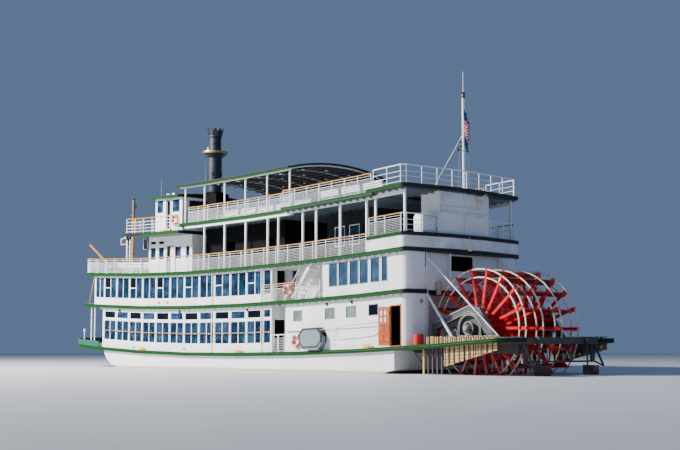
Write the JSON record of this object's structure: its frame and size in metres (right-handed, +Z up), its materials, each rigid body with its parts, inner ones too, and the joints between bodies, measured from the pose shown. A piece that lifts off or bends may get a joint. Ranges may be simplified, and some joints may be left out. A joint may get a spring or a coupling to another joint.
{
  "type": "half-size model of a sternwheel excursion paddle boat",
  "caption": "Half-size sternwheel excursion boat: flat scow hull, stacked cabins and railed decks, pilothouse, funnel, turning paddle wheel, coupled rudders, swinging doors, luffing boom.",
  "frame": {"origin": "on the centreline of the flat hull bottom, 7.15 m ahead of the transom", "axes": "+X towards the bow, +Y to port, +Z up"},
  "size_m": [23.385, 5.3, 9.727],
  "materials": {
    "white_paint": "satin white ship paint",
    "green_paint": "satin green ship paint",
    "teal_paint": "satin blue-green ship paint",
    "red_paint": "worn red paint on steel and boards",
    "cream_paint": "worn cream paint",
    "black_paint": "matt black paint",
    "grey_paint": "satin grey paint",
    "steel": "dark bare steel",
    "orange_paint": "orange varnished planks",
    "wood": "varnished spar wood"
  },
  "bodies": {
    "ship": {"hull": "white_paint", "main_deck": "green_paint", "bow_bulwark": "teal_paint", "cabin_1_port": "white_paint", "cabin_1_starboard": "white_paint", "engine_house_port": "white_paint", "engine_house_starboard": "white_paint", "cabin_2_port": "white_paint", "cabin_2_starboard": "white_paint", "aft_house_port": "white_paint", "aft_house_starboard": "white_paint", "deck_2": "green_paint", "deck_3": "green_paint", "deck_3_aft": "white_paint", "texas_cabin_port": "white_paint", "texas_cabin_starboard": "white_paint", "bridge_deck": "green_paint", "pilothouse": "white_paint", "pilothouse_roof": "green_paint", "deck_4": "green_paint", "deck_3_columns_port": "white_paint", "deck_3_columns_starboard": "white_paint", "centre_cabin": "white_paint", "service_block": "black_paint", "stern_screen": "white_paint", "awning_roof": "black_paint", "awning_frame_port": "white_paint", "awning_frame_starboard": "white_paint", "deck_3_rail": "white_paint", "deck_3_aft_rail": "white_paint", "deck_4_stern_rail": "white_paint", "deck_4_rail": "white_paint", "bridge_rail": "white_paint", "side_landing_port": "white_paint", "side_landing_starboard": "white_paint", "drive_housing_port": "grey_paint", "drive_housing_starboard": "grey_paint", "stern_post_port": "white_paint", "stern_post_starboard": "white_paint", "wheel_frame": "black_paint", "deck_skirt_port": "cream_paint", "deck_skirt_starboard": "cream_paint", "side_drum": "grey_paint", "funnel": "black_paint", "stern_mast": "white_paint", "bow_mast": "wood"},
    "paddle_wheel": {"wheel_arms_and_boards": "red_paint", "wheel_shaft": "steel", "wheel_circles_1": "cream_paint", "wheel_circles_2": "cream_paint", "wheel_circles_3": "cream_paint", "wheel_circles_4": "cream_paint"},
    "rudder_port": {"rudder_port": "steel"},
    "rudder_starboard": {"rudder_starboard": "steel"},
    "monkey_rudder_port": {"monkey_rudder_port": "steel"},
    "monkey_rudder_starboard": {"monkey_rudder_starboard": "steel"},
    "engine_door_port": {"engine_door_port": "orange_paint"},
    "engine_door_starboard": {"engine_door_starboard": "orange_paint"},
    "bow_boom": {"bow_boom": "wood"}
  },
  "joints": [
    {"name": "wheel_turn", "type": "hinge", "parent": "ship", "child": "paddle_wheel", "pos_m": [-9.25, 0, 1.85], "axis": [0, 1, 0], "continuous": true},
    {"name": "rudder_port_turn", "type": "hinge", "parent": "ship", "child": "rudder_port", "pos_m": [-6.45, 1.3, 0.2], "axis": [0, 0, 1], "range_deg": [-35, 35]},
    {"name": "rudder_starboard_turn", "type": "hinge", "parent": "ship", "child": "rudder_starboard", "pos_m": [-6.45, -1.3, 0.2], "axis": [0, 0, 1], "range_deg": [-35, 35]},
    {"name": "monkey_rudder_port_turn", "type": "hinge", "parent": "ship", "child": "monkey_rudder_port", "pos_m": [-11.31, 1.075, 0.55], "axis": [0, 0, 1], "range_deg": [-35, 35]},
    {"name": "monkey_rudder_starboard_turn", "type": "hinge", "parent": "ship", "child": "monkey_rudder_starboard", "pos_m": [-11.31, -1.075, 0.55], "axis": [0, 0, 1], "range_deg": [-35, 35]},
    {"name": "engine_door_port_swing", "type": "hinge", "parent": "ship", "child": "engine_door_port", "pos_m": [-6.955, 2.49225, 1.8], "axis": [0, 0, 1], "range_deg": [0, 180]},
    {"name": "engine_door_starboard_swing", "type": "hinge", "parent": "ship", "child": "engine_door_starboard", "pos_m": [-6.955, -2.49225, 1.8], "axis": [0, 0, -1], "range_deg": [0, 180]},
    {"name": "bow_boom_luff", "type": "hinge", "parent": "ship", "child": "bow_boom", "pos_m": [9.75, 1.6, 4.39795], "axis": [0, -1, 0], "range_deg": [-3, 45]}
  ],
  "couplings": [
    {"joint": "rudder_starboard_turn", "follows": "rudder_port_turn", "ratio": 1},
    {"joint": "monkey_rudder_port_turn", "follows": "rudder_port_turn", "ratio": 1},
    {"joint": "monkey_rudder_starboard_turn", "follows": "rudder_port_turn", "ratio": 1}
  ]
}
